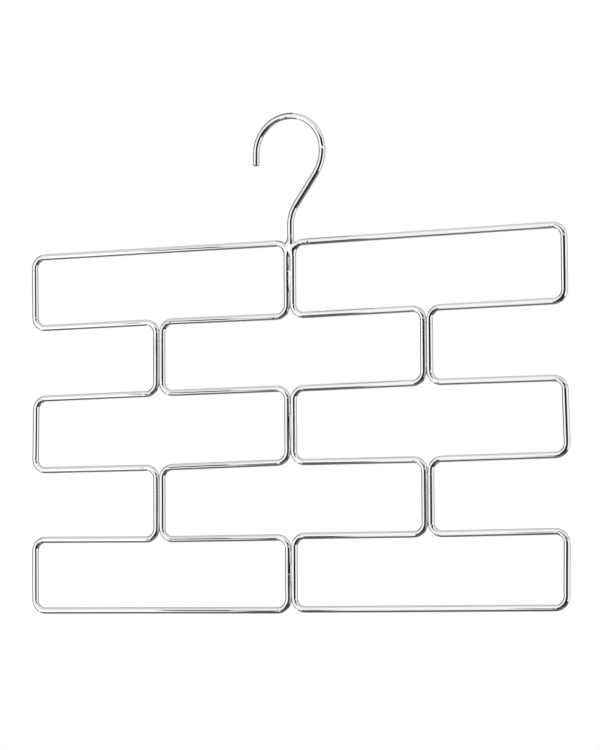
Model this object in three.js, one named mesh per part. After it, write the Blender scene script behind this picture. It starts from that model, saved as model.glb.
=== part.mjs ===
// Legging hanger: two wire loops bent into a flat brick pattern, welded side by side under a fixed hook.
// Millimetres. +X runs along the width, +Y to the back and +Z up.
// The origin is the underside of the hook's crown, where it bears on a closet rod.
import * as THREE from "three";

// Wire
const WIRE_DIAMETER = 4.5;
const WIRE_SIDES = 12;
const TOUCH_GAP = 0.3; // kept between pieces that touch
const SAME_PLACE = 0.3; // rings of a sweep closer together than this are one

// Frame
const FRAME_WIDTH = 406; // over the outer posts
const ROW_PITCH = 51; // from one rail's centreline to the next
const LOBE_COUNT = 3; // wide cells down each half, with a neck between neighbours
const BEND_RADIUS = 8; // at the wire's centreline
const FRAME_FACET_ANGLE = THREE.MathUtils.degToRad(15);

// Hook, with radii at the wire's centreline
const CROWN_RADIUS = 25;
const CROWN_RISE = 63.6; // crown's centre above the top rail's centreline
const SIDE_RADIUS = 31; // where the crown eases into the slanted run
const SLANT_ANGLE = THREE.MathUtils.degToRad(36); // slanted run from the vertical
const KNEE_RADIUS = 25; // between the slanted run and the stem
const TIP_DROP = 8.3; // tip's end below the crown's centre
const HOOK_FACET_ANGLE = THREE.MathUtils.degToRad(10);

// Welds
const BUTT_WELD_LENGTH = 1.2; // along the wire
const BUTT_WELD_UPSET = 0.1; // how far its rim stands proud of the wire
const TOP_BUTT_WELD_X = 15.2; // on the right loop's top rail
const GROOVE_WELD_LENGTH = 18;
const GROOVE_WELD_ROOT = 0.4; // width at the bottom of the groove
const GROOVE_WELD_INSET = 0.3; // its edges below the wires' faces
const GROOVE_WELD_CROWN = 0.15; // its middle above its edges
const HOOK_WELD_DEPTH = 3.8;
const HOOK_WELD_ROOT = 0.6; // width at the bottom of the V
const HOOK_WELD_WALL = 1; // beside the stem's end
const HOOK_WELD_LEG = 2; // up the stem, and out along the frame wires
const WELD_ARC_STEPS = 5;

const CHROME = { color: 0xdfe1e4, roughness: 0.1, metalness: 1 };

const WIRE_RADIUS = WIRE_DIAMETER / 2;
const SEAM_OFFSET = WIRE_RADIUS + TOUCH_GAP / 2; // each wire's centreline from the middle of a seam or neck
const POST_X = FRAME_WIDTH / 2 - WIRE_RADIUS;
const CELL_WIDTH = POST_X - SEAM_OFFSET - WIRE_DIAMETER;
const NECK_X = CELL_WIDTH / 2 + WIRE_RADIUS + SEAM_OFFSET; // makes the middle cells as wide as the others
const ROD_SEAT_RISE = CROWN_RISE + CROWN_RADIUS - WIRE_RADIUS; // above the top rail's centreline
const LEFT = -1;
const RIGHT = 1;
const FRONT = -1;
const BACK = 1;

// A point of the hanger's plane: x across, and y standing for height above the top rail's centreline.
function at(x, height) {
  return new THREE.Vector2(x, height);
}

function railHeight(level) {
  return -level * ROW_PITCH;
}

// Rows count from 1 at the top, each between two rails.
function rowMiddle(row) {
  return (railHeight(row - 1) + railHeight(row)) / 2;
}

// A wire's centreline: straight runs with a round bend at each inner point. A sweep along it gets a ring
// at the ends of each run and a few round each bend, and none between.
class BentWire extends THREE.Curve {
  constructor(points, radii, facetAngle) {
    super();
    this.stations = [];
    const directions = points.slice(1).map((point, i) => point.clone().sub(points[i]).normalize());
    this.addStation(points[0], directions[0]);
    radii.forEach((radius, i) => {
      this.addBend(points[i + 1], directions[i], directions[i + 1], radius, facetAngle);
    });
    this.addStation(points.at(-1), directions.at(-1));
  }

  addStation(point, direction) {
    this.stations.push({
      point: new THREE.Vector3(point.x, 0, point.y),
      tangent: new THREE.Vector3(direction.x, 0, direction.y),
    });
  }

  addBend(corner, before, after, radius, facetAngle) {
    const cosine = before.dot(after);
    const turn = Math.acos(cosine);
    const inward = after.clone().addScaledVector(before, -cosine).normalize();
    const start = corner.clone().addScaledVector(before, -radius * Math.tan(turn / 2));
    const steps = Math.ceil(turn / facetAngle);
    const last = this.stations.at(-1).point;
    const meetsLast = last.distanceTo(new THREE.Vector3(start.x, 0, start.y)) < SAME_PLACE;
    for (let step = meetsLast ? 1 : 0; step <= steps; step++) {
      const angle = (turn * step) / steps;
      const point = start
        .clone()
        .addScaledVector(before, radius * Math.sin(angle))
        .addScaledVector(inward, radius * (1 - Math.cos(angle)));
      const direction = before.clone().multiplyScalar(Math.cos(angle)).addScaledVector(inward, Math.sin(angle));
      this.addStation(point, direction);
    }
  }

  stationAt(share) {
    return this.stations[Math.round(share * (this.stations.length - 1))];
  }

  getPointAt(share, target = new THREE.Vector3()) {
    return target.copy(this.stationAt(share).point);
  }

  getTangentAt(share, target = new THREE.Vector3()) {
    return target.copy(this.stationAt(share).tangent);
  }
}

function sweepWire(centreline) {
  const section = new THREE.Shape();
  for (let side = 0; side < WIRE_SIDES; side++) {
    const angle = (2 * Math.PI * side) / WIRE_SIDES;
    const place = [WIRE_RADIUS * Math.cos(angle), WIRE_RADIUS * Math.sin(angle)];
    if (side === 0) section.moveTo(...place);
    else section.lineTo(...place);
  }
  return new THREE.ExtrudeGeometry(section, {
    steps: centreline.stations.length - 1,
    extrudePath: centreline,
  });
}

const hanger = new THREE.Group();
hanger.position.z = -ROD_SEAT_RISE;

function addPiece(name, geometry) {
  const piece = new THREE.Mesh(geometry, new THREE.MeshStandardMaterial(CHROME));
  piece.name = name;
  hanger.add(piece);
  return piece;
}

// One half's corners in wire order: down the outer side over posts and necks, then up the seam side.
function loopCorners(side) {
  const outer = [];
  const inner = [];
  for (let lobe = 0; lobe < LOBE_COUNT; lobe++) {
    const top = railHeight(2 * lobe);
    const bottom = railHeight(2 * lobe + 1);
    if (lobe > 0) {
      outer.push(at(side * (NECK_X + SEAM_OFFSET), top));
      inner.push(at(side * (NECK_X - SEAM_OFFSET), top));
    }
    outer.push(at(side * POST_X, top), at(side * POST_X, bottom));
    inner.push(at(side * SEAM_OFFSET, top), at(side * SEAM_OFFSET, bottom));
    if (lobe < LOBE_COUNT - 1) {
      outer.push(at(side * (NECK_X + SEAM_OFFSET), bottom));
      inner.push(at(side * (NECK_X - SEAM_OFFSET), bottom));
    }
  }
  return { corners: [...outer, ...inner.reverse()], lowestSeamRun: outer.length };
}

// Flat on both ends, with a slightly proud rim.
function buttWeldGeometry() {
  const half = BUTT_WELD_LENGTH / 2;
  const profile = [
    [0, -half],
    [WIRE_RADIUS, -half],
    [WIRE_RADIUS + BUTT_WELD_UPSET, 0],
    [WIRE_RADIUS, half],
    [0, half],
  ];
  return new THREE.LatheGeometry(
    profile.map((place) => new THREE.Vector2(...place)),
    WIRE_SIDES,
  );
}

// One half of the frame: a wire bent round all its corners, whose two ends meet in a butt weld on one run.
function addFrameWire(name, weldName, corners, weldRun, weldAlong) {
  const runStart = corners[weldRun];
  const following = [...corners.slice(weldRun + 1), ...corners.slice(0, weldRun + 1)];
  const direction = following[0].clone().sub(runStart).normalize();
  const weldPlace = runStart.clone().addScaledVector(direction, weldAlong);
  const setBack = BUTT_WELD_LENGTH / 2 + TOUCH_GAP;
  const points = [
    weldPlace.clone().addScaledVector(direction, setBack),
    ...following,
    weldPlace.clone().addScaledVector(direction, -setBack),
  ];
  const radii = following.map(() => BEND_RADIUS);
  addPiece(name, sweepWire(new BentWire(points, radii, FRAME_FACET_ANGLE)));

  const weld = addPiece(weldName, buttWeldGeometry());
  weld.position.set(weldPlace.x, 0, weldPlace.y);
  weld.quaternion.setFromUnitVectors(
    new THREE.Vector3(0, 1, 0),
    new THREE.Vector3(direction.x, 0, direction.y),
  );
}

function addFrame() {
  const left = loopCorners(LEFT);
  addFrameWire("left_frame_wire", "left_butt_weld", left.corners, left.lowestSeamRun, ROW_PITCH / 2);
  const right = loopCorners(RIGHT);
  const topRailRun = right.corners.length - 1;
  const weldAlong = TOP_BUTT_WELD_X - SEAM_OFFSET;
  addFrameWire("right_frame_wire", "right_butt_weld", right.corners, topRailRun, weldAlong);
}

// Fills the groove between two parallel wires, in section: x across and y out of the groove.
function grooveWeldSection() {
  const reach = WIRE_RADIUS + TOUCH_GAP;
  const edgeDepth = WIRE_RADIUS - GROOVE_WELD_INSET;
  const edgeX = SEAM_OFFSET - Math.sqrt(reach ** 2 - edgeDepth ** 2);
  const rootX = GROOVE_WELD_ROOT / 2;
  const flank = [];
  for (let step = 0; step <= WELD_ARC_STEPS; step++) {
    const x = rootX + ((edgeX - rootX) * step) / WELD_ARC_STEPS;
    flank.push(new THREE.Vector2(x, Math.sqrt(reach ** 2 - (SEAM_OFFSET - x) ** 2)));
  }
  const crown = new THREE.Vector2(0, edgeDepth + GROOVE_WELD_CROWN);
  const mirrored = flank.map((point) => new THREE.Vector2(-point.x, point.y)).reverse();
  return new THREE.Shape([...flank, crown, ...mirrored]);
}

function addGrooveWeld(name, x, row, face) {
  const geometry = new THREE.ExtrudeGeometry(grooveWeldSection(), {
    depth: GROOVE_WELD_LENGTH,
    bevelEnabled: false,
  });
  geometry.translate(0, 0, -GROOVE_WELD_LENGTH / 2);
  const weld = addPiece(name, geometry);
  weld.position.set(x, 0, rowMiddle(row));
  weld.rotation.z = face === FRONT ? Math.PI : 0;
}

// Odd rows hold a seam in the middle, even rows a neck on each side.
function addGrooveWelds() {
  for (let row = 1; row < 2 * LOBE_COUNT; row++) {
    if (row % 2 === 1) {
      addGrooveWeld(`centre_seam_weld_row_${row}`, 0, row, FRONT);
    } else {
      addGrooveWeld(`left_neck_weld_row_${row}`, LEFT * NECK_X, row, BACK);
      addGrooveWeld(`right_neck_weld_row_${row}`, RIGHT * NECK_X, row, BACK);
    }
  }
}

// Height at which the V between the two top bends is this wide from its middle to the clearance face.
function heightInV(halfWidth) {
  const reach = BEND_RADIUS + WIRE_RADIUS + TOUCH_GAP;
  const across = BEND_RADIUS + SEAM_OFFSET - halfWidth;
  return Math.sqrt(reach ** 2 - across ** 2) - BEND_RADIUS;
}

const STEM_CLEARANCE_X = WIRE_RADIUS + TOUCH_GAP;
const STEM_SOCKET_HEIGHT = heightInV(STEM_CLEARANCE_X + HOOK_WELD_WALL);

function addHookWire() {
  const sideCorner = CROWN_RISE - SIDE_RADIUS * Math.tan(SLANT_ANGLE / 2);
  const kneeCorner = sideCorner - CROWN_RADIUS / Math.tan(SLANT_ANGLE);
  const crownTop = CROWN_RISE + CROWN_RADIUS;
  const points = [
    at(0, STEM_SOCKET_HEIGHT + TOUCH_GAP),
    at(0, kneeCorner),
    at(CROWN_RADIUS, sideCorner),
    at(CROWN_RADIUS, crownTop),
    at(-CROWN_RADIUS, crownTop),
    at(-CROWN_RADIUS, CROWN_RISE - TIP_DROP),
  ];
  const radii = [KNEE_RADIUS, SIDE_RADIUS, CROWN_RADIUS, CROWN_RADIUS];
  addPiece("hook_wire", sweepWire(new BentWire(points, radii, HOOK_FACET_ANGLE)));
}

// Fills the V between the two frame wires and cups the stem's end, with a fillet up each side of it.
function addHookWeld() {
  const rootX = HOOK_WELD_ROOT / 2;
  const toeX = STEM_CLEARANCE_X + HOOK_WELD_LEG;
  const flank = [];
  for (let step = 0; step <= WELD_ARC_STEPS; step++) {
    const x = rootX + ((toeX - rootX) * step) / WELD_ARC_STEPS;
    flank.push(at(x, heightInV(x)));
  }
  const half = [
    ...flank,
    at(STEM_CLEARANCE_X, heightInV(toeX) + HOOK_WELD_LEG),
    at(STEM_CLEARANCE_X, STEM_SOCKET_HEIGHT),
  ];
  const mirrored = half.map((point) => at(-point.x, point.y)).reverse();
  const geometry = new THREE.ExtrudeGeometry(new THREE.Shape([...half, ...mirrored]), {
    depth: HOOK_WELD_DEPTH,
    bevelEnabled: false,
  });
  geometry.translate(0, 0, -HOOK_WELD_DEPTH / 2);
  addPiece("hook_weld", geometry).rotation.x = Math.PI / 2;
}

addFrame();
addGrooveWelds();
addHookWire();
addHookWeld();

export default hanger;
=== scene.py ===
"""Looks of the legging hanger: chromed wires and welds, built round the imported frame.

Metres, in the frame's axes: +X along the width, +Y to the back, +Z up.
The origin is under the hook's crown.
"""
import math

import bmesh
import bpy
import numpy as np
from mathutils import Matrix, Vector


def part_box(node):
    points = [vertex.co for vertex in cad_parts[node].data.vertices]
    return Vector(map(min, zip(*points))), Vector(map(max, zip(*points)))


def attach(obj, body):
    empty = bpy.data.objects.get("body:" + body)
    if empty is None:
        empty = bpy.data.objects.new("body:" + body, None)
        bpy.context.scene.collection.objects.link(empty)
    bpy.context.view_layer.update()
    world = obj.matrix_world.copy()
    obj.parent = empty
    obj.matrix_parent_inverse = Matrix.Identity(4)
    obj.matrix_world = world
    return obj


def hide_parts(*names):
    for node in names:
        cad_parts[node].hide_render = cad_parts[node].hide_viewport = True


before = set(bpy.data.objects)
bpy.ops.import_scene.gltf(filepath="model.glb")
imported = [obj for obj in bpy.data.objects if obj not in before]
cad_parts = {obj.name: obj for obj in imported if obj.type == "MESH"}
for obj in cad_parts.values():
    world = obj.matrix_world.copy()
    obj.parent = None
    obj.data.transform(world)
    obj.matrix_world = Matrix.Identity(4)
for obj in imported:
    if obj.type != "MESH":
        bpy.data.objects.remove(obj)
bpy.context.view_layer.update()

MM = 0.001
LEFT, RIGHT = -1, 1

# Sizes of the CAD part, from the boxes of its nodes
FRAME_LOW, FRAME_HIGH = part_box("right_frame_wire")
HOOK_LOW, HOOK_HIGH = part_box("hook_wire")
NECK_LOW, NECK_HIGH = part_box("right_neck_weld_row_2")
WIRE_RADIUS = (HOOK_HIGH.y - HOOK_LOW.y) / 2
POST_X = FRAME_HIGH.x - WIRE_RADIUS
NECK_X = (NECK_LOW.x + NECK_HIGH.x) / 2
TOP_RAIL_Z = FRAME_HIGH.z - WIRE_RADIUS
BOTTOM_RAIL_Z = FRAME_LOW.z + WIRE_RADIUS
CROWN_RADIUS = HOOK_HIGH.x - WIRE_RADIUS
CROWN_Z = HOOK_HIGH.z - WIRE_RADIUS - CROWN_RADIUS
STEM_END_Z = HOOK_LOW.z

# Sizes of the CAD part that no box gives
LOBE_COUNT = 3
RAIL_COUNT = 2 * LOBE_COUNT
ROW_PITCH = (TOP_RAIL_Z - BOTTOM_RAIL_Z) / (RAIL_COUNT - 1)
BEND_RADIUS = 8 * MM
SIDE_RADIUS = 31 * MM  # of the hook's bend between the slanted run and the crown
KNEE_RADIUS = 25 * MM
SLANT_ANGLE = math.radians(36)
TIP_DROP = 8.3 * MM  # of the hook's tip under the crown's centre

# How finely the wires are swept
RUN_STEP = 3 * MM
RUN_GRADING = 0.8  # how much closer a run's places lie at its ends
SHORTEST_RUN = 0.5 * MM
BEND_STEP = 0.5 * MM
SIDES = 32
RING_ANGLES = 2 * np.pi * np.arange(SIDES) / SIDES

# Marks of making on the wires
DEBURR = 0.35 * MM
EASE_PLACES = 7  # over which a bend's ovalness sets in
BEND_OVALNESS = 0.035  # of the frame's bends
DRAWN_OVALNESS = 0.008
OVAL_TURN = 230 * MM  # of wire, over which the drawn wire's oval turns round
WAVE_HEIGHT = 0.035 * MM
WAVE_LENGTHS = (61 * MM, 104 * MM, 173 * MM)
WRINKLE = 0.008 * MM  # that bending leaves
WRINKLE_LENGTHS = (2.3 * MM, 3.7 * MM)
DIE_MARK = 0.04 * MM  # deepest dent where a bend starts or ends
DIE_MARK_LENGTH = 0.8 * MM
HEAT_REACH = 2.2 * MM  # round a groove's weld, where the plate is duller and bluer

# How far hand bending leaves the wires off the true grid
STEM_SHIFT = 0.6 * MM  # of the hook's stem to the right
TIP_SPREAD = 0.5 * MM  # of the hook's tip to the left
SLANT_LIFT = 0.9 * MM  # of the hook's slanted run
POST_SHIFTS = {  # of the posts at each rail from the top one down, to the right, in millimetres
    LEFT: (-0.9, -0.3, 0.5, -0.2, -0.2, 0.1),
    RIGHT: (0.2, 0.3, -0.4, 0.9, -0.1, -0.9),
}
RAIL_LIFTS = {  # of the ends of each rail from the top one down, in millimetres
    (LEFT, "post"): (0, -0.2, 0, -0.3, 0.9, 1.5),
    (LEFT, "neck"): (0, 0, 0.4, -0.9, -0.4, 0),
    (LEFT, "seam"): (-0.3, -0.5, 0.4, 0.2, -0.6, 0.2),
    (RIGHT, "post"): (0.9, 0.6, 0, -0.2, 0, 0.2),
    (RIGHT, "neck"): (0, 0.3, 0.6, -0.7, -0.3, 0),
    (RIGHT, "seam"): (-0.3, -0.2, 0, 0, 0.2, 0.7),
}
HOOK_SEED = 1
FIRST_FRAME_SEED = 2

# Welds
WELD_GRID = 0.2 * MM
WELD_SINK = 0.03 * MM  # of a weld's skin inside the bare wire
WELD_SMOOTHING = 4  # times
SMOOTHING_SHARE = 0.5
BEAD_WAVES = (  # how fast each wave of an uneven bead runs along x, y and z, and its start
    (3.1, 0, 1.7, 0),
    (0, -1.9, 2.3, 0.6),
    (2.2, 0, 4.7, 0),
)
HOOK_WELD_HALF = Vector((8.5, 3, 9)) * MM
HOOK_WELD_FILLET = 2.1 * MM
HOOK_FILLER_HALF = Vector((3.4, 2.6, 4.6)) * MM
HOOK_FILLER_DROP = 3.3 * MM  # of its middle under the top rail's centreline
HOOK_FILLER_SQUARENESS = 2.5
HOOK_BEAD_SCALE = 2.6 * MM
HOOK_BEAD_HEIGHT = 0.03 * MM
GROOVE_FILLET = 0.6 * MM
GROOVE_TAPER = 9 * MM
GROOVE_MARGIN = 1.5 * MM
GROOVE_BEAD_SCALE = 4 * MM
GROOVE_BEAD_HEIGHT = 0.02 * MM
FULL_FILL = 1.62 * MM  # of a groove weld, out from the wires' middle plane
DEEP_FILL = 1.1 * MM
BUTT_WELD_RINGS = 13
BUTT_WELD_REACH = 0.9 * MM
BUTT_WELD_WANDER = 0.2 * MM
BUTT_WELD_LEAN = 2  # radians round the wire, by which its wander is turned
BUTT_WELD_LOBES = ((2, 0.3, 1), (5, 0.2, 0))  # count round the wire, height and turn
DRESSED_SHARE = 0.35  # of a butt weld's upset that dressing leaves

# Finish, with noise scales per metre
LINE_SCALE = 2600
LINE_STRETCH = 0.02  # of that scale along the wire, as drawing lines run
LINE_DEPTH = 0.0004 * MM
RIPPLE_SCALE = 120
RIPPLE_DEPTH = 0.006 * MM
SPECK_SCALE = 900
WIRE_COLOUR = (0.914, 0.909, 0.893)
HEATED_WIRE_COLOUR = (0.68, 0.78, 0.8)
WIRE_ROUGHNESS = (0.02, 0.05)
HEAT_ROUGHNESS = 0.05  # that a weld's heat adds
BLOTCH_SCALE = 700
BLOTCH_DEPTH = 0.015 * MM
PIT_SCALE = 2200
WELD_COLOUR = (0.885, 0.88, 0.868)
HEATED_WELD_COLOUR = (0.74, 0.825, 0.845)
WELD_ROUGHNESS = (0.06, 0.16)

# Camera, from the photograph's perspective
CAMERA_AZIMUTH = math.radians(24.17)
CAMERA_PITCH = math.radians(4.73)
CAMERA_ROLL = math.radians(-0.306)
CAMERA_DISTANCE = 2143 * MM
CAMERA_TARGET = Vector((7.27, 0, -179.05)) * MM
CAMERA_LENS = 148.87
SENSOR_WIDTH = 36

# Studio, with azimuths in degrees as the camera's: 0 stands in front, 90 on the +X side.
# A glow of 1 is white.
AMBIENT = 0.95
FLOOR_Z = -1.3
FLOOR_RADIUS = 7
FLOOR_STEPS = 96
FLOOR_GREY = 0.8
FLOOR_GLOW = 0.92  # as the chrome shows it
FLOOR_FADE = (0.45 * FLOOR_RADIUS, 0.95 * FLOOR_RADIUS)
TENT_TOP = 2.0
WALL_STEP = 6  # degrees
CARD_LIFT = 1 * MM  # of a dark card over the floor
DARK = 0.02
FAR = 8
FAR_BAR_LOW, FAR_BAR_TOP = 1.37, 1.58
FAR_BAR_GLOW = 2.2

# Cards bent to an arc round the hanger: azimuths, distance, and a glow for each height
WALLS = {
    "tent_front": ((-31, -13), 3.2, {4.2: 0.8, 0.65: 1.06, FLOOR_Z: 1.06}),
    "tent_left": ((-68, -31), 1.5, {TENT_TOP: 0.8, 1.1: 0.7, 0.4: 0.8, 0.1: 1.25, FLOOR_Z: 1.15}),
    "tent_right": ((66, 135), 1.5, {TENT_TOP: 0.9, 1.1: 0.82, 0.4: 0.78, 0.1: 0.98, -1: 1}),
    "tent_right_top": ((12, 66), 1.5, {TENT_TOP: 0.9, 0.9: 0.8}),
    "tent_back": ((135, 292), 1.5, {1.3: 0.3, 0.4: 0.1, FLOOR_Z: 0.1}),
    "back_right_high": ((135, 150), 1.4, {TENT_TOP: 0.8, 0.28: 0.9}),
    "back_right_low": ((135, 150), 1.4, {-0.38: 0.95, -1: 0.95}),
    "back_left_low": ((210, 250), 1.4, {-0.38: 0.95, -1: 0.95}),
    "dark_room": ((-13, 68), 3, {0.25: DARK, FLOOR_Z: DARK}),
    "far_wall": ((-15, 68), FAR, {FAR_BAR_LOW: DARK, 0: DARK}),
    "far_bar": ((-15, 68), FAR, {FAR_BAR_TOP: FAR_BAR_GLOW, FAR_BAR_LOW: FAR_BAR_GLOW}),
    "far_wall_top": ((-15, 68), FAR, {5: DARK, FAR_BAR_TOP: DARK}),
}

# Flat upright cards: both ends as x and y, and a glow for each height
UPRIGHTS = {
    "left_jamb": ((-0.38, -0.7), (0, -0.7), {0.4: 1, -0.4: 1.06}),
    "right_jamb": ((0.76, -0.36), (0.85, -0.27), {0.4: 0.8, 0.1: 0.98, -0.4: 1}),
    "front_pole": ((-1.6, -2.8), (-1.27, -2.8), {0.32: DARK, FLOOR_Z: DARK}),
    "front_step": ((-0.4, -1.5), (0.05, -1.5), {-0.4: 0.05, FLOOR_Z: 0.05}),
}

# Level cards: from and to in x, from and to in y, height, and glow
LEVEL_CARDS = {
    "tent_ceiling": ((-2.5, 2.5), (-1.37, 2.5), TENT_TOP, 0.72),
    "room_floor": ((-0.3, 2.6), (-2.9, -0.75), FLOOR_Z + 2 * CARD_LIFT, 0.015),
    "dark_mat": ((-1.2, 0.6), (-0.7, 0.9), FLOOR_Z + CARD_LIFT, 0.1),
    "side_mat": ((0.6, 3), (-2, 1.6), FLOOR_Z + CARD_LIFT, 0.08),
    "clamp": ((-0.055, -0.002), (-0.009, 0.055), 0.02, 0.03),
}

# A painted shadow of the front pole, as a dark strip on the floor: x, y and half width of its places
# from the hanger outwards
POLE_SHADOW_PLACES = (
    (-0.54, -0.7, 0.035),
    (-0.8, -1.5, 0.035),
    (-1.04, -2.05, 0.1),
    (-1.425, -2.8, 0.175),
)
# Glow of the painted pole shadow, and how soft its sides are
POLE_SHADOW_GLOW = 0.1
POLE_SHADOW_SOFTNESS = 0.04


def middle(cad_node):
    low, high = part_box(cad_node)
    return (low + high) / 2


def unit(vectors):
    return vectors / np.linalg.norm(vectors, axis=1)[:, None]


# Wires

def run_points(start, end):
    """Places along a straight run, its far end left out."""
    length = np.linalg.norm(end - start)
    count = math.ceil(length / RUN_STEP) if length > SHORTEST_RUN else 0
    steps = np.arange(count) / max(count, 1)
    shares = steps - RUN_GRADING * np.sin(2 * np.pi * steps) / (2 * np.pi)
    return start + shares[:, None] * (end - start)


def bend_points(corner, before, after, radius):
    """Places round a bend between two directions, both ends included."""
    cosine = float(before @ after)
    turn = math.acos(cosine)
    inward = (after - cosine * before) / math.sin(turn)
    start = corner - before * radius * math.tan(turn / 2)
    angles = np.linspace(0, turn, math.ceil(turn * radius / BEND_STEP) + 1)[:, None]
    return start + radius * (before * np.sin(angles) + inward * (1 - np.cos(angles)))


def centreline(corners, radii):
    """A bent wire's centreline as x and z, and how tight its bend is at each place: 0 on a run."""
    corners = np.array(corners, float)
    ways = unit(np.diff(corners, axis=0))
    places, tightness = [], []
    start = corners[0]
    for corner, before, after, radius in zip(corners[1:], ways, ways[1:], radii):
        arc = bend_points(corner, before, after, radius)
        run = run_points(start, arc[0])
        places += [run, arc[:-1]]
        tightness += [np.zeros(len(run)), np.full(len(arc) - 1, BEND_RADIUS / radius)]
        start = arc[-1]
    run = run_points(start, corners[-1])
    places += [run, corners[-1:]]
    tightness += [np.zeros(len(run) + 1)]
    return np.concatenate(places), np.concatenate(tightness)


def arc_lengths(places):
    steps = np.linalg.norm(np.diff(places, axis=0), axis=1)
    return np.concatenate([[0], np.cumsum(steps)])


def rail_level(side, place, rail):
    """Height of a rail's end at a post, a neck or the seam, the rails counted from the top."""
    return TOP_RAIL_Z - rail * ROW_PITCH + RAIL_LIFTS[side, place][rail] * MM


def loop_corners(side):
    """One half's corners in wire order: down the outer side, then up the seam side."""
    outer, inner = [], []
    for rail in range(RAIL_COUNT):
        post_x = side * POST_X + POST_SHIFTS[side][rail] * MM
        post = (post_x, rail_level(side, "post", rail))
        seam = (side * WIRE_RADIUS, rail_level(side, "seam", rail))
        neck_z = rail_level(side, "neck", rail)
        outer_neck = (side * (NECK_X + WIRE_RADIUS), neck_z)
        inner_neck = (side * (NECK_X - WIRE_RADIUS), neck_z)
        if rail in (0, RAIL_COUNT - 1):
            outer.append(post)
            inner.append(seam)
        elif rail % 2:
            outer += [post, outer_neck]
            inner += [seam, inner_neck]
        else:
            outer += [outer_neck, post]
            inner += [inner_neck, seam]
    return outer + inner[::-1]


def opened_at(corners, place):
    """A closed loop's corners as an open wire that starts and ends at a place on one of its runs."""
    spot = np.array((place.x, place.z))
    starts = np.array(corners)
    along = np.roll(starts, -1, axis=0) - starts
    shares = ((spot - starts) * along).sum(1) / (along ** 2).sum(1)
    nearest = starts + shares.clip(0, 1)[:, None] * along
    run = int(np.linalg.norm(nearest - spot, axis=1).argmin())
    following = [*corners[run + 1:], *corners[:run + 1]]
    return [nearest[run], *following, nearest[run]]


def hook_corners():
    """The hook's corners from the stem's end to the tip, and the radius of each bend."""
    half_turn = math.tan(SLANT_ANGLE / 2)
    side_corner = CROWN_Z - SIDE_RADIUS * half_turn + SLANT_LIFT
    side_radius = SIDE_RADIUS - SLANT_LIFT / half_turn  # which ends where the crown starts
    knee_corner = side_corner - CROWN_RADIUS / math.tan(SLANT_ANGLE)
    crown_top = CROWN_Z + CROWN_RADIUS
    corners = [
        (STEM_SHIFT, STEM_END_Z),
        (STEM_SHIFT, knee_corner),
        (CROWN_RADIUS, side_corner),
        (CROWN_RADIUS, crown_top),
        (-CROWN_RADIUS, crown_top),
        (-CROWN_RADIUS - TIP_SPREAD, CROWN_Z - TIP_DROP),
    ]
    return corners, [KNEE_RADIUS, side_radius, CROWN_RADIUS, CROWN_RADIUS]


def waves(along, seed):
    """Slow wander of a hand-straightened wire to the front and back."""
    phases = np.random.default_rng(seed).uniform(0, 2 * np.pi, len(WAVE_LENGTHS))
    return sum(
        WAVE_HEIGHT * np.sin(2 * np.pi * along / length + phase)
        for length, phase in zip(WAVE_LENGTHS, phases)
    )


def eased(values):
    """A row of values with its steps smoothed out over a few places."""
    return np.convolve(values, np.full(EASE_PLACES, 1 / EASE_PLACES), mode="same")


def dents(along, tightness, seed):
    """How far bending has pressed a wire in: wrinkles in its bends, and a die's mark at their ends."""
    rng = np.random.default_rng(seed)
    wrinkles = sum(
        np.sin(2 * np.pi * along / length + rng.uniform(0, 2 * np.pi))
        for length in WRINKLE_LENGTHS
    )
    ends = along[np.flatnonzero(np.diff(tightness))]
    depths = DIE_MARK * rng.uniform(0, 1, len(ends)) ** 2
    marks = depths * np.exp(-(((along[:, None] - ends) / DIE_MARK_LENGTH) ** 2))
    return WRINKLE * eased(tightness) * wrinkles + marks.sum(1)


def with_ends(values, first, last):
    """A row of values with one more after the first and one more before the last."""
    return np.concatenate([values[:1], [first], values[1:-1], [last], values[-1:]])


def heat_at(places):
    """How close each place is to a groove's weld, from 0 far off to 1 at it."""
    heat = np.zeros(places.shape[:2])
    for cad_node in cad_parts:
        if "weld_row" in cad_node:
            nearest = np.clip(places, *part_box(cad_node))
            distance = np.linalg.norm(places - nearest, axis=2)
            heat = np.maximum(heat, np.exp(-((distance / HEAT_REACH) ** 2)))
    return heat


def ring_offsets(tangents, size, along, bent):
    """From a wire's centreline to its skin all round: slightly oval as drawn, and flatter in bends."""
    back = unit(np.array((0, 1, 0)) - tangents * tangents[:, 1:2])
    inner = np.cross(back, tangents)
    turn = 2 * np.pi * along[:, None] / OVAL_TURN
    radius = size[:, None] * (1 + DRAWN_OVALNESS * np.cos(2 * RING_ANGLES - turn))
    across = radius * (1 - BEND_OVALNESS * bent)[:, None] * np.cos(RING_ANGLES)
    through = radius * (1 + BEND_OVALNESS / 2 * bent)[:, None] * np.sin(RING_ANGLES)
    return across[..., None] * inner[:, None] + through[..., None] * back[:, None]


def wire_mesh(name, corners, radii, seed):
    """A wire swept along its bent centreline, slightly out of round, with cut and deburred ends."""
    flat, tightness = centreline(corners, radii)
    along = arc_lengths(flat)
    spine = np.stack([flat[:, 0], waves(along, seed), flat[:, 1]], axis=1)
    tangents = unit(np.gradient(spine, along, axis=0))
    spine = with_ends(spine, spine[0] + DEBURR * tangents[0], spine[-1] - DEBURR * tangents[-1])
    tangents = with_ends(tangents, tangents[0], tangents[-1])
    tightness = with_ends(tightness, 0, 0)
    along = with_ends(along, DEBURR, along[-1] - DEBURR)
    size = WIRE_RADIUS - dents(along, tightness, seed)
    size[[0, -1]] -= DEBURR
    rings = spine[:, None] + ring_offsets(tangents, size, along, eased(tightness))
    mesh = ringed_mesh(name, rings, heat_at(rings))
    round_wire = WIRE_RADIUS * np.cos(RING_ANGLES), WIRE_RADIUS * np.sin(RING_ANGLES)
    place = np.stack(np.broadcast_arrays(*round_wire, along[:, None]), axis=2)
    store(mesh, "wire_place", "FLOAT_VECTOR", "vector", place)
    return mesh


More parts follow.
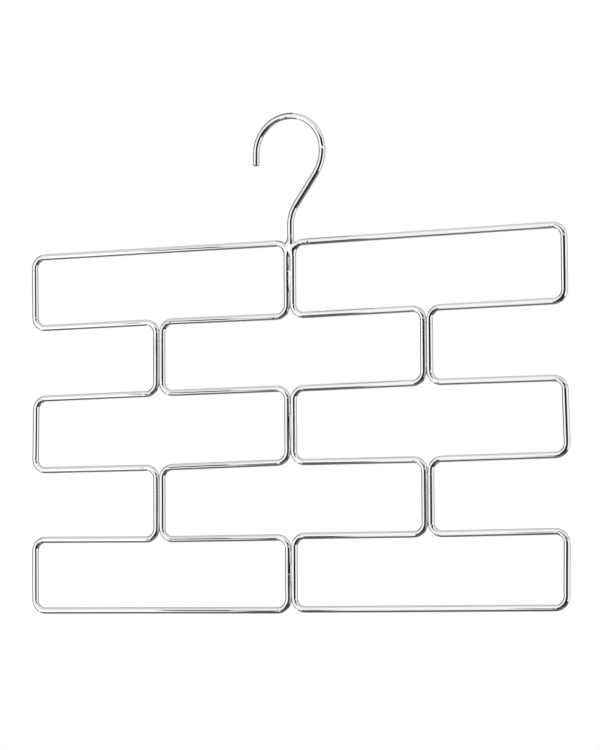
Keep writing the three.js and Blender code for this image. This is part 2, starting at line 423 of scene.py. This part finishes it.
def ringed_mesh(name, rings, heat):
    """A closed mesh over rings of equally many points, with how much weld heat each point took."""
    count, sides = rings.shape[:2]
    number = np.arange(count * sides).reshape(count, sides)
    following = np.roll(number, -1, axis=1)
    corners = [number[:-1], following[:-1], following[1:], number[1:]]
    quads = np.stack(corners, axis=2).reshape(-1, 4)
    faces = quads.tolist() + [number[0, ::-1].tolist(), number[-1].tolist()]
    mesh = bpy.data.meshes.new(name)
    mesh.from_pydata(rings.reshape(-1, 3).tolist(), [], faces)
    smooth = np.ones(len(faces), bool)
    smooth[-2:] = False
    mesh.polygons.foreach_set("use_smooth", smooth)
    store(mesh, "weld_heat", "FLOAT", "value", heat)
    return mesh


def store(mesh, name, kind, field, values):
    """Gives each point of a mesh a value that a material reads."""
    attribute = mesh.attributes.new(name, kind, "POINT")
    attribute.data.foreach_set(field, np.ascontiguousarray(values, np.float32).ravel())


# Welds

def smooth_least(a, b, reach):
    """The lesser of two distances, with a fillet of about this reach where they meet."""
    share = np.clip(0.5 + 0.5 * (b - a) / reach, 0, 1)
    return b + (a - b) * share - reach * share * (1 - share)


def smooth_step(share):
    """A 0 to 1 value that starts and ends gently."""
    return share * share * (3 - 2 * share)


def grid_round(spot, half):
    """Points of a regular grid that fills a box."""
    axes = [np.arange(s - h, s + h + WELD_GRID, WELD_GRID) for s, h in zip(spot, half)]
    return np.stack(np.meshgrid(*axes, indexing="ij"), axis=3)


def close_points(corners, radii):
    """A centreline's places as points in space, close enough together for a distance field."""
    flat, _ = centreline(corners, radii)
    along = arc_lengths(flat)
    even = np.arange(0, along[-1], WELD_GRID)
    x, z = np.interp(even, along, flat[:, 0]), np.interp(even, along, flat[:, 1])
    return np.stack([x, np.zeros(len(even)), z], axis=1)


def wire_field(grid, corners, radii):
    """Distance from each grid point to a wire's skin, sunk by as much as a weld's skin is."""
    nearest = np.full(grid.shape[:3], np.inf)
    for point in close_points(corners, radii):
        nearest = np.minimum(nearest, ((grid - point) ** 2).sum(3))
    return np.sqrt(nearest) - (WIRE_RADIUS - WELD_SINK)


def uneven(grid, scale, height):
    """Low bumps that hardly repeat, for a bead laid by hand."""
    return height * sum(np.sin(grid @ np.array(way) / scale + start) for *way, start in BEAD_WAVES)


def crossings(grid, field):
    """In each grid cell, the sum and the count of the places where its edges cross zero."""
    cells = tuple(n - 1 for n in field.shape)
    total = np.zeros((*cells, 3))
    hits = np.zeros(cells)
    ends = (slice(None, -1), slice(1, None))
    for axis in range(3):
        others = [k for k in range(3) if k != axis]
        for a in ends:
            for b in ends:
                near = [ends[0]] * 3
                near[others[0]], near[others[1]] = a, b
                far = list(near)
                far[axis] = ends[1]
                near, far = tuple(near), tuple(far)
                crossed = (field[near] < 0) != (field[far] < 0)
                fall = np.where(crossed, field[near] - field[far], 1)
                share = np.where(crossed, field[near] / fall, 0)
                place = grid[near] + share[..., None] * (grid[far] - grid[near])
                total += np.where(crossed[..., None], place, 0)
                hits += crossed
    return total, hits


def skin_faces(inside, number):
    """A square across each grid edge that leads into or out of the inside."""
    faces = []
    corners = ((-1, -1), (0, -1), (0, 0), (-1, 0))
    for axis in range(3):
        u, v = (axis + 1) % 3, (axis + 2) % 3
        low = [slice(1, -1)] * 3
        low[axis] = slice(None, -1)
        high = list(low)
        high[axis] = slice(1, None)
        first, last = inside[tuple(low)], inside[tuple(high)]
        shift = np.ones(3, int)
        shift[axis] = 0
        for leaving in (True, False):
            spots = np.argwhere((first != last) & (first == leaving)) + shift
            square = []
            for du, dv in corners if leaving else corners[::-1]:
                cell = spots.copy()
                cell[:, u] += du
                cell[:, v] += dv
                square.append(number[tuple(cell.T)])
            faces.append(np.stack(square, axis=1))
    return np.concatenate(faces)


def smoothed(mesh):
    work = bmesh.new()
    work.from_mesh(mesh)
    axes = {"use_axis_x": True, "use_axis_y": True, "use_axis_z": True}
    for _ in range(WELD_SMOOTHING):
        bmesh.ops.smooth_vert(work, verts=work.verts, factor=SMOOTHING_SHARE, **axes)
    work.to_mesh(mesh)
    work.free()
    mesh.polygons.foreach_set("use_smooth", np.ones(len(mesh.polygons), bool))


def skin_of(name, grid, field, heat):
    """The closed and smoothed skin round the places where a field is negative, with its weld heat."""
    field[[0, -1]] = field[:, [0, -1]] = field[:, :, [0, -1]] = WELD_GRID
    total, hits = crossings(grid, field)
    used = hits > 0
    number = np.full(hits.shape, -1)
    number[used] = np.arange(used.sum())
    vertices = total[used] / hits[used][:, None]
    mesh = bpy.data.meshes.new(name)
    mesh.from_pydata(vertices.tolist(), [], skin_faces(field < 0, number).tolist())
    smoothed(mesh)
    store(mesh, "weld_heat", "FLOAT", "value", np.full(len(mesh.vertices), heat))
    return mesh


def hook_weld_mesh(name):
    """Weld that fills the V between the two top bends and swallows the stem's end."""
    filler_middle = np.array((0, 0, TOP_RAIL_Z - HOOK_FILLER_DROP))
    grid = grid_round(filler_middle, HOOK_WELD_HALF)
    reach = 3 * BEND_RADIUS  # of each wire, further than the grid
    bends = []
    for side in (LEFT, RIGHT):
        seam_x, seam_z = side * WIRE_RADIUS, rail_level(side, "seam", 0)
        corners = [(side * reach, seam_z), (seam_x, seam_z), (seam_x, seam_z - reach)]
        bends.append(wire_field(grid, corners, [BEND_RADIUS]))
    stem_ends = [(STEM_SHIFT, TOP_RAIL_Z), (STEM_SHIFT, TOP_RAIL_Z + reach)]
    stem = wire_field(grid, stem_ends, [])
    half = np.array(HOOK_FILLER_HALF)
    power = HOOK_FILLER_SQUARENESS
    shares = np.abs(grid - filler_middle) / half
    filler = ((shares ** power).sum(3) ** (1 / power) - 1) * half.min()
    filled_stem = smooth_least(stem, filler, HOOK_WELD_FILLET)
    field = smooth_least(np.minimum(*bends), filled_stem, HOOK_WELD_FILLET)
    return skin_of(name, grid, field + uneven(grid, HOOK_BEAD_SCALE, HOOK_BEAD_HEIGHT), heat=0)


def groove_weld_mesh(name, cad_node, fill):
    """Bead in the groove between two wires that lie side by side, thinning out at both ends."""
    low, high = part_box(cad_node)
    spot = np.array(middle(cad_node))
    half_length = (high.z - low.z + GROOVE_TAPER) / 2
    face = math.copysign(1, spot[1])
    spot[1] = 0
    half = (2 * WIRE_RADIUS, WIRE_RADIUS + GROOVE_MARGIN, half_length + GROOVE_MARGIN)
    grid = grid_round(spot, half)
    x, depth, z = grid[..., 0] - spot[0], face * grid[..., 1], grid[..., 2] - spot[2]
    wires = np.hypot(np.abs(x) - WIRE_RADIUS, depth) - WIRE_RADIUS + WELD_SINK
    fullness = smooth_step(np.clip((half_length - np.abs(z)) / GROOVE_TAPER, 0, 1))
    bead = np.maximum(depth - fill * fullness, np.maximum(-depth, np.abs(x) - WIRE_RADIUS))
    bead += uneven(grid, GROOVE_BEAD_SCALE, GROOVE_BEAD_HEIGHT)
    return skin_of(name, grid, smooth_least(wires, bead, GROOVE_FILLET), heat=1)


def butt_weld_mesh(name, cad_node):
    """Slight ring where a wire's two ends are welded together."""
    low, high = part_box(cad_node)
    size = np.array(high - low)
    axis = np.zeros(3)
    axis[size.argmin()] = 1
    upset = (size.max() / 2 - WIRE_RADIUS) * DRESSED_SHARE
    back = np.array((0, 1, 0))
    side = np.cross(back, axis)
    along = np.linspace(-1, 1, BUTT_WELD_RINGS)[:, None]
    lobes = sum(height * np.sin(count * RING_ANGLES + turn) for count, height, turn in BUTT_WELD_LOBES)
    swell = np.cos(along * np.pi / 2) * (1 + lobes)
    radius = WIRE_RADIUS - WELD_SINK + (upset + WELD_SINK) * swell
    wander = BUTT_WELD_WANDER * np.sin(RING_ANGLES + BUTT_WELD_LEAN) * (1 - np.abs(along))
    rings = (
        np.array(middle(cad_node))
        + (along * BUTT_WELD_REACH + wander)[..., None] * axis
        + (radius * np.cos(RING_ANGLES))[..., None] * side
        + (radius * np.sin(RING_ANGLES))[..., None] * back
    )
    return ringed_mesh(name, rings, np.zeros(rings.shape[:2]))


# Materials

def node(tree, kind, **inputs):
    made = tree.nodes.new(kind)
    for name, value in inputs.items():
        made.inputs[name.replace("_", " ")].default_value = value
    return made


def new_material(name):
    material = bpy.data.materials.new(name)
    material.use_nodes = True
    material.node_tree.nodes.clear()
    return material, material.node_tree


def attribute(tree, name):
    made = node(tree, "ShaderNodeAttribute")
    made.attribute_name = name
    return made


def grey(level):
    return (level, level, level, 1)


def mapped(tree, value, low, high):
    """A 0 to 1 value spread over a range."""
    spread = node(tree, "ShaderNodeMapRange", From_Min=0, From_Max=1, To_Min=low, To_Max=high)
    tree.links.new(value, spread.inputs["Value"])
    return spread.outputs["Result"]


def noise(tree, place, scale, detail, roughness):
    made = node(tree, "ShaderNodeTexNoise", Scale=scale, Detail=detail, Roughness=roughness)
    tree.links.new(place, made.inputs["Vector"])
    return made.outputs["Fac"]


def tinted(tree, share, clean, dull):
    """A colour between two, by a 0 to 1 value."""
    mix = node(tree, "ShaderNodeMix")
    mix.data_type = "RGBA"
    mix.inputs["A"].default_value = (*clean, 1)
    mix.inputs["B"].default_value = (*dull, 1)
    tree.links.new(share, mix.inputs["Factor"])
    return mix.outputs["Result"]


def bumped(tree, height, strength, distance, under=None):
    bump = node(tree, "ShaderNodeBump", Strength=strength, Distance=distance)
    tree.links.new(height, bump.inputs["Height"])
    if under is not None:
        tree.links.new(under, bump.inputs["Normal"])
    return bump.outputs["Normal"]


def dulled(tree, specks):
    """How much a weld's heat has dulled the plate, in specks."""
    dull = node(tree, "ShaderNodeMath")
    dull.operation = "MULTIPLY"
    tree.links.new(specks, dull.inputs[0])
    tree.links.new(attribute(tree, "weld_heat").outputs["Fac"], dull.inputs[1])
    return dull.outputs["Value"]


def mixed(tree, share, first, last):
    """A shader between two, by a 0 to 1 value."""
    mix = node(tree, "ShaderNodeMixShader")
    for value, socket in zip((share, first, last), mix.inputs):
        tree.links.new(value, socket)
    return mix.outputs["Shader"]


def metal(tree, colour, roughness, normal):
    shader = node(tree, "ShaderNodeBsdfPrincipled", Metallic=1)
    output = node(tree, "ShaderNodeOutputMaterial")
    tree.links.new(colour, shader.inputs["Base Color"])
    tree.links.new(roughness, shader.inputs["Roughness"])
    tree.links.new(normal, shader.inputs["Normal"])
    tree.links.new(shader.outputs["BSDF"], output.inputs["Surface"])


def chrome_wire_material():
    """Bright chrome over drawn wire: faint lines along it, a slow ripple, duller by the groove welds."""
    material, tree = new_material("chrome_wire_finish")
    place = attribute(tree, "wire_place").outputs["Vector"]
    drawn = node(tree, "ShaderNodeMapping", Scale=(1, 1, LINE_STRETCH))
    tree.links.new(place, drawn.inputs["Vector"])
    lines = noise(tree, drawn.outputs["Vector"], LINE_SCALE, detail=2, roughness=0.5)
    ripple = noise(tree, place, RIPPLE_SCALE, detail=1, roughness=0.5)
    dull = dulled(tree, noise(tree, place, SPECK_SCALE, detail=3, roughness=0.6))

    gloss = node(tree, "ShaderNodeMath")
    gloss.operation = "MULTIPLY_ADD"
    gloss.inputs[1].default_value = HEAT_ROUGHNESS
    tree.links.new(dull, gloss.inputs[0])
    tree.links.new(mapped(tree, lines, *WIRE_ROUGHNESS), gloss.inputs[2])

    colour = tinted(tree, dull, WIRE_COLOUR, HEATED_WIRE_COLOUR)
    drawing = bumped(tree, lines, strength=0.2, distance=LINE_DEPTH)
    plating = bumped(tree, ripple, strength=0.5, distance=RIPPLE_DEPTH, under=drawing)
    metal(tree, colour, gloss.outputs["Value"], plating)
    return material


def chrome_weld_material():
    """Chrome plate over a dressed weld: slightly duller than the wire, uneven and pitted."""
    material, tree = new_material("chrome_weld_finish")
    place = node(tree, "ShaderNodeTexCoord").outputs["Object"]
    blotches = noise(tree, place, BLOTCH_SCALE, detail=3, roughness=0.6)
    pits = noise(tree, place, PIT_SCALE, detail=2, roughness=0.6)
    colour = tinted(tree, dulled(tree, blotches), WELD_COLOUR, HEATED_WELD_COLOUR)
    normal = bumped(tree, blotches, strength=0.2, distance=BLOTCH_DEPTH)
    metal(tree, colour, mapped(tree, pits, *WELD_ROUGHNESS), normal)
    return material


def card_material():
    """A plain glow whose level each card's points give."""
    material, tree = new_material("studio_card")
    output = node(tree, "ShaderNodeOutputMaterial")
    glow = node(tree, "ShaderNodeEmission", Color=grey(1))
    tree.links.new(attribute(tree, "glow").outputs["Fac"], glow.inputs["Strength"])
    tree.links.new(glow.outputs["Emission"], output.inputs["Surface"])
    return material


def floor_material():
    """Pale, with a plain glow of its own in the chrome, and fading out into the white round it."""
    material, tree = new_material("pale_floor")
    pale = node(tree, "ShaderNodeBsdfDiffuse", Color=grey(FLOOR_GREY))
    shown = node(tree, "ShaderNodeEmission", Color=grey(FLOOR_GLOW))
    clear = node(tree, "ShaderNodeBsdfTransparent")
    distance = node(tree, "ShaderNodeVectorMath")
    distance.operation = "LENGTH"
    tree.links.new(node(tree, "ShaderNodeTexCoord").outputs["Object"], distance.inputs[0])
    fade = node(tree, "ShaderNodeMapRange", From_Min=FLOOR_FADE[0], From_Max=FLOOR_FADE[1])
    fade.interpolation_type = "SMOOTHSTEP"
    tree.links.new(distance.outputs["Value"], fade.inputs["Value"])
    glossy = node(tree, "ShaderNodeLightPath").outputs["Is Glossy Ray"]
    floor_shader = mixed(tree, glossy, pale.outputs["BSDF"], shown.outputs["Emission"])
    faded = mixed(tree, fade.outputs["Result"], floor_shader, clear.outputs["BSDF"])
    tree.links.new(faded, node(tree, "ShaderNodeOutputMaterial").inputs["Surface"])
    return material


# Pieces

def add_piece(mesh, cad_node, material):
    piece = bpy.data.objects.new(mesh.name, mesh)
    bpy.context.scene.collection.objects.link(piece)
    mesh.materials.append(material)
    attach(piece, "root")
    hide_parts(cad_node)


def add_wires():
    finish = chrome_wire_material()
    corners, radii = hook_corners()
    mesh = wire_mesh("plated_hook_wire", corners, radii, HOOK_SEED)
    add_piece(mesh, "hook_wire", finish)
    halves = {"left": LEFT, "right": RIGHT}
    for seed, (half, side) in enumerate(halves.items(), start=FIRST_FRAME_SEED):
        corners = opened_at(loop_corners(side), middle(f"{half}_butt_weld"))
        radii = [BEND_RADIUS] * (len(corners) - 2)
        mesh = wire_mesh(f"plated_{half}_frame_wire", corners, radii, seed)
        add_piece(mesh, f"{half}_frame_wire", finish)


def add_welds():
    finish = chrome_weld_material()
    for cad_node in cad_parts:
        name = f"plated_{cad_node}"
        if cad_node == "hook_weld":
            mesh = hook_weld_mesh(name)
        elif "butt_weld" in cad_node:
            mesh = butt_weld_mesh(name, cad_node)
        elif "weld_row" in cad_node:
            fill = FULL_FILL if cad_node == "centre_seam_weld_row_1" else DEEP_FILL
            mesh = groove_weld_mesh(name, cad_node, fill)
        else:
            continue
        add_piece(mesh, cad_node, finish)


# Studio

def stand_at(azimuth, distance, z):
    """A place round the hanger."""
    angle = math.radians(azimuth)
    return Vector((distance * math.sin(angle), -distance * math.cos(angle), z))


def add_camera():
    data = bpy.data.cameras.new("camera")
    data.lens = CAMERA_LENS
    data.sensor_width = SENSOR_WIDTH
    camera = bpy.data.objects.new("camera", data)
    bpy.context.scene.collection.objects.link(camera)
    turned = Matrix.Rotation(CAMERA_AZIMUTH, 4, "Z")
    tipped = Matrix.Rotation(math.pi / 2 + CAMERA_PITCH, 4, "X")
    rolled = Matrix.Rotation(CAMERA_ROLL, 4, "Z")
    back = Matrix.Translation((0, 0, CAMERA_DISTANCE))
    camera.matrix_world = Matrix.Translation(CAMERA_TARGET) @ turned @ tipped @ rolled @ back
    bpy.context.scene.camera = camera


def add_softbox(name, azimuth, distance, z, width, height, radiance):
    """A lamp that faces the hanger. The chrome shows the tent's lit walls instead of it."""
    data = bpy.data.lights.new(name, "AREA")
    data.shape = "RECTANGLE"
    data.size = width
    data.size_y = height
    data.energy = radiance * math.pi * width * height
    lamp = bpy.data.objects.new(name, data)
    bpy.context.scene.collection.objects.link(lamp)
    lamp.location = stand_at(azimuth, distance, z)
    towards = Vector((-lamp.location.x, -lamp.location.y, 0))
    lamp.rotation_mode = "QUATERNION"
    lamp.rotation_quaternion = towards.to_track_quat("-Z", "Y")
    lamp.visible_camera = False
    lamp.visible_glossy = False


def add_card(name, rows, glows):
    """A card over rows of points, each row with its glow, which only shows in the chrome."""
    mesh = bpy.data.meshes.new(name)
    count = len(rows[0])
    starts = range(0, count * (len(rows) - 1), count)
    corners = [s + i for s in starts for i in range(count - 1)]
    faces = [(c, c + 1, c + count + 1, c + count) for c in corners]
    mesh.from_pydata([tuple(point) for row in rows for point in row], [], faces)
    store(mesh, "glow", "FLOAT", "value", np.repeat(glows, count))
    mesh.materials.append(bpy.data.materials.get("studio_card") or card_material())
    card = bpy.data.objects.new(name, mesh)
    bpy.context.scene.collection.objects.link(card)
    card.visible_camera = False
    card.visible_diffuse = False
    card.visible_transmission = False
    card.visible_shadow = False


def add_wall(name, azimuths, distance, glow_at):
    steps = math.ceil((azimuths[1] - azimuths[0]) / WALL_STEP) + 1
    angles = np.linspace(*azimuths, steps)
    rows = [[stand_at(a, distance, z) for a in angles] for z in glow_at]
    add_card(name, rows, list(glow_at.values()))


def add_upright(name, first, last, glow_at):
    rows = [[(*first, z), (*last, z)] for z in glow_at]
    add_card(name, rows, list(glow_at.values()))


def add_level_card(name, x, y, z, glow):
    rows = [[(x[0], depth, z), (x[1], depth, z)] for depth in y]
    add_card(name, rows, [glow, glow])


def add_painted_pole_shadow():
    """The front pole's painted shadow on the floor: a dark strip with its soft sides, out to the pole's
    foot.
    """
    sides = ((LEFT, POLE_SHADOW_SOFTNESS), (LEFT, 0), (RIGHT, 0), (RIGHT, POLE_SHADOW_SOFTNESS))
    rows = [
        [(x + side * (half + soft), y, FLOOR_Z + CARD_LIFT) for x, y, half in POLE_SHADOW_PLACES]
        for side, soft in sides
    ]
    # A dark card that paints the front pole's shadow on the floor, seen only in the chrome
    add_card("pole_shadow_card", rows, [FLOOR_GLOW, POLE_SHADOW_GLOW, POLE_SHADOW_GLOW, FLOOR_GLOW])


def add_floor():
    mesh = bpy.data.meshes.new("floor")
    angles = [360 * step / FLOOR_STEPS for step in range(FLOOR_STEPS)]
    ring = [tuple(stand_at(angle, FLOOR_RADIUS, FLOOR_Z)) for angle in angles]
    mesh.from_pydata(ring, [], [tuple(range(FLOOR_STEPS))])
    mesh.materials.append(floor_material())
    floor = bpy.data.objects.new("floor", mesh)
    bpy.context.scene.collection.objects.link(floor)


def add_world():
    """White to the eye and in the chrome, and a plain soft level as light."""
    world = bpy.data.worlds.new("studio")
    bpy.context.scene.world = world
    world.use_nodes = True
    tree = world.node_tree
    tree.nodes.clear()
    output = node(tree, "ShaderNodeOutputWorld")
    white = node(tree, "ShaderNodeBackground", Color=grey(1))
    tree.links.new(white.outputs["Background"], output.inputs["Surface"])
    path = node(tree, "ShaderNodeLightPath")
    seen = path.outputs["Is Camera Ray"]
    for ray in ("Is Glossy Ray", "Is Transmission Ray"):
        either = node(tree, "ShaderNodeMath")
        either.operation = "MAXIMUM"
        tree.links.new(seen, either.inputs[0])
        tree.links.new(path.outputs[ray], either.inputs[1])
        seen = either.outputs["Value"]
    tree.links.new(mapped(tree, seen, AMBIENT, 1), white.inputs["Strength"])


def add_studio():
    """What the chrome shows all round: a light tent with a dark back, dark things on its floor, and a
    painted shadow of the front pole on that floor.

    Between two jambs it is open to the camera's side, onto a dark room with a bright bar far off.
    """
    add_world()
    add_floor()
    add_softbox("key_softbox", azimuth=-23, distance=1.4, z=0.25, width=1.1, height=2.1, radiance=1)
    add_softbox("side_softbox", azimuth=88, distance=1.5, z=0.1, width=1.8, height=1.5, radiance=0.9)
    for name, wall in WALLS.items():
        add_wall(name, *wall)
    for name, upright in UPRIGHTS.items():
        add_upright(name, *upright)
    for name, card in LEVEL_CARDS.items():
        add_level_card(name, *card)
    # Painted shadow of the front pole on the floor
    add_painted_pole_shadow()


bpy.context.scene.view_settings.view_transform = "Standard"
add_camera()
add_wires()
add_welds()
add_studio()
